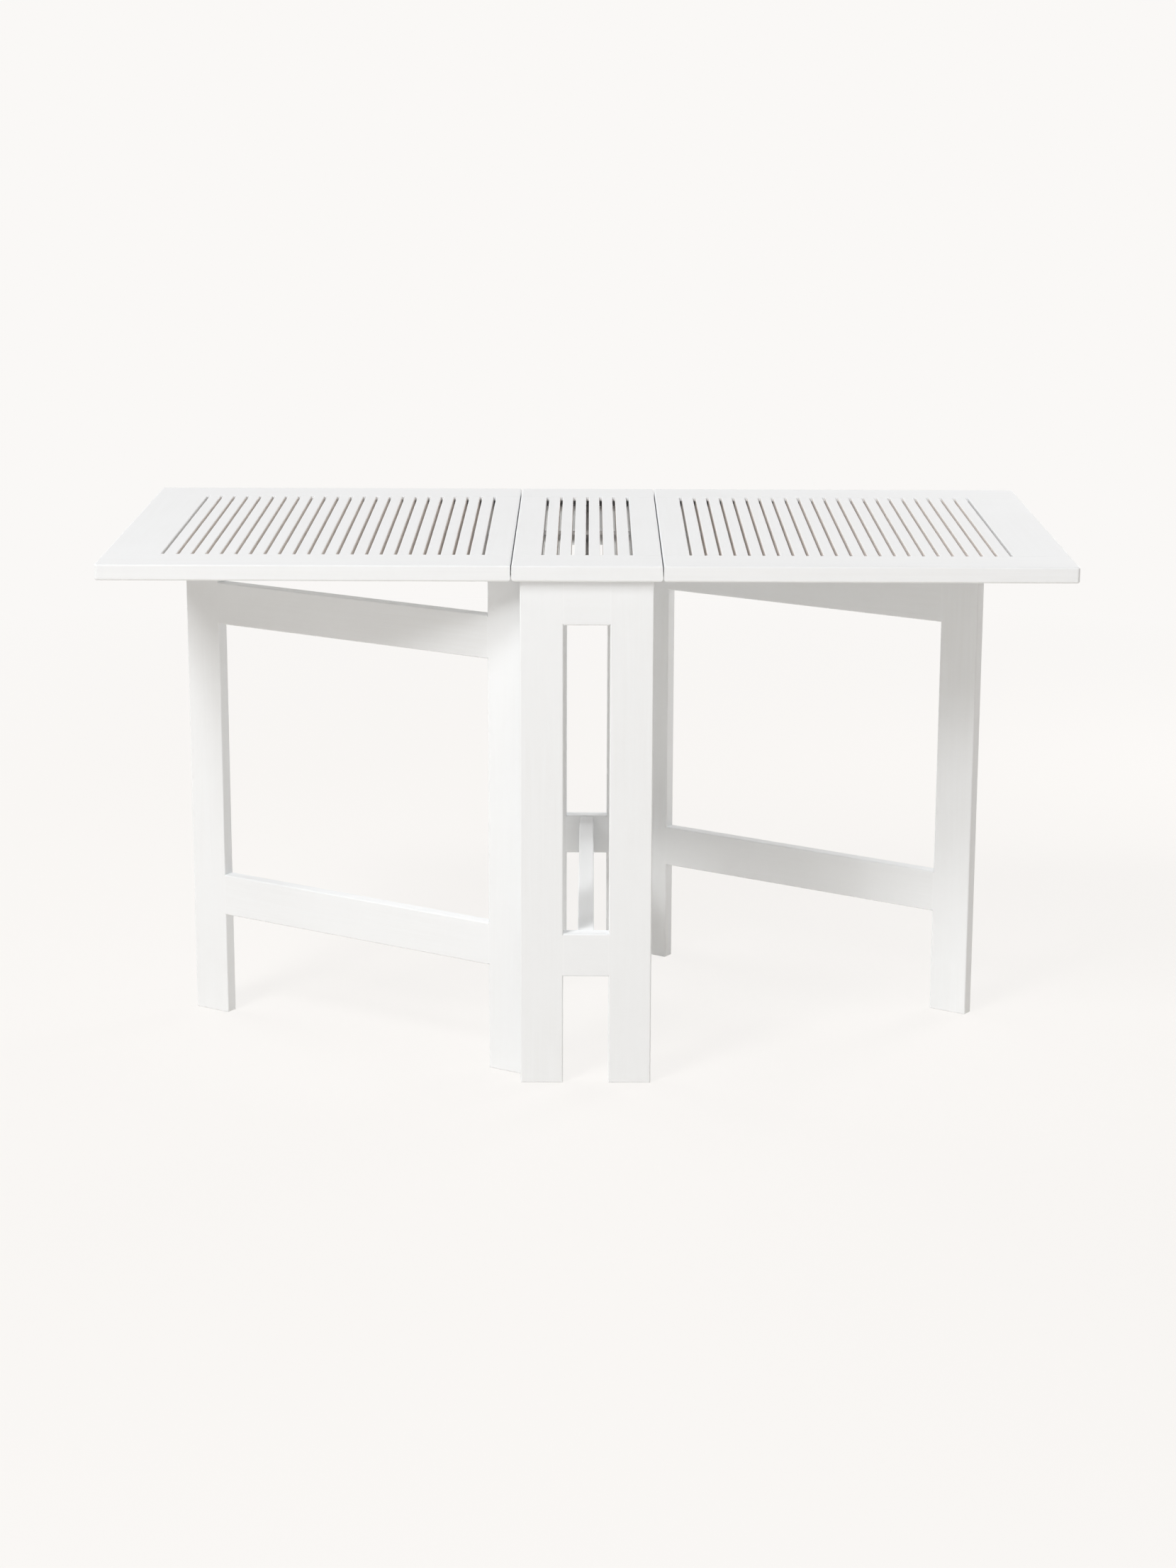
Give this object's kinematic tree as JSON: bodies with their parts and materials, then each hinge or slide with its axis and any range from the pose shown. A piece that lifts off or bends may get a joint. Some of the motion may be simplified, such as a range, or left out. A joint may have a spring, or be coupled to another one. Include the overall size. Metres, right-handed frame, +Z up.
{
  "type": "extending garden table",
  "caption": "Narrow slatted garden table with two slatted drop leaves, each carried by a gate that swings out on butt hinges.",
  "frame": {"origin": "on the floor, under the middle of the top", "axes": "+X along the table towards the right leaf, +Y from the front edge to the rear edge, +Z up"},
  "size_m": [1.3, 0.7, 0.72],
  "materials": {
    "white_paint": "softwood under satin white outdoor paint",
    "hinge_steel": "zinc-plated sheet steel",
    "pin_steel": "zinc-plated drawn steel",
    "screw_steel": "zinc-plated steel screws",
    "beech": "bare beech dowels"
  },
  "bodies": {
    "frame": {"front_left_stile": "white_paint", "front_right_stile": "white_paint", "front_top_rail": "white_paint", "front_lower_rail": "white_paint", "rear_left_stile": "white_paint", "rear_right_stile": "white_paint", "rear_top_rail": "white_paint", "rear_lower_rail": "white_paint", "top_stretcher": "white_paint", "lower_stretcher": "white_paint", "stretcher_dowels": "beech", "centre_front_rail": "white_paint", "centre_rear_rail": "white_paint", "centre_left_board": "white_paint", "centre_right_board": "white_paint", "centre_slats": "white_paint", "centre_batten": "white_paint", "centre_screws": "screw_steel", "gate_hinge_frame_leaves": "hinge_steel", "gate_hinge_pins": "pin_steel", "gate_hinge_frame_screws": "screw_steel", "seam_hinge_centre_leaves": "hinge_steel", "seam_hinge_pins": "pin_steel", "seam_hinge_centre_screws": "screw_steel"},
    "left_leaf": {"left_leaf_front_rail": "white_paint", "left_leaf_rear_rail": "white_paint", "left_leaf_inner_board": "white_paint", "left_leaf_end_board": "white_paint", "left_leaf_slats": "white_paint", "left_leaf_batten": "white_paint", "left_leaf_stop": "white_paint", "left_leaf_stop_screws": "screw_steel", "left_leaf_hinges": "hinge_steel", "left_leaf_hinge_screws": "screw_steel"},
    "right_leaf": {"right_leaf_front_rail": "white_paint", "right_leaf_rear_rail": "white_paint", "right_leaf_inner_board": "white_paint", "right_leaf_end_board": "white_paint", "right_leaf_slats": "white_paint", "right_leaf_batten": "white_paint", "right_leaf_stop": "white_paint", "right_leaf_stop_screws": "screw_steel", "right_leaf_hinges": "hinge_steel", "right_leaf_hinge_screws": "screw_steel"},
    "left_gate": {"left_gate_hinge_stile": "white_paint", "left_gate_outer_leg": "white_paint", "left_gate_upper_rail": "white_paint", "left_gate_lower_rail": "white_paint", "left_gate_hinges": "hinge_steel", "left_gate_hinge_screws": "screw_steel"},
    "right_gate": {"right_gate_hinge_stile": "white_paint", "right_gate_outer_leg": "white_paint", "right_gate_upper_rail": "white_paint", "right_gate_lower_rail": "white_paint", "right_gate_hinges": "hinge_steel", "right_gate_hinge_screws": "screw_steel"}
  },
  "joints": [
    {"name": "left_gate_swing", "type": "hinge", "parent": "frame", "child": "left_gate", "pos_m": [-0.0835, -0.3132, 0], "axis": [0, 0, 1], "range_deg": [-57.8, 0]},
    {"name": "right_gate_swing", "type": "hinge", "parent": "frame", "child": "right_gate", "pos_m": [0.0835, 0.3132, 0], "axis": [0, 0, 1], "range_deg": [-56.4, 0]},
    {"name": "left_leaf_lift", "type": "hinge", "parent": "frame", "child": "left_leaf", "pos_m": [-0.10075, 0, 0.6932], "axis": [0, 1, 0], "range_deg": [0, 2.5]},
    {"name": "right_leaf_lift", "type": "hinge", "parent": "frame", "child": "right_leaf", "pos_m": [0.10075, 0, 0.6932], "axis": [0, -1, 0], "range_deg": [0, 2.5]}
  ]
}
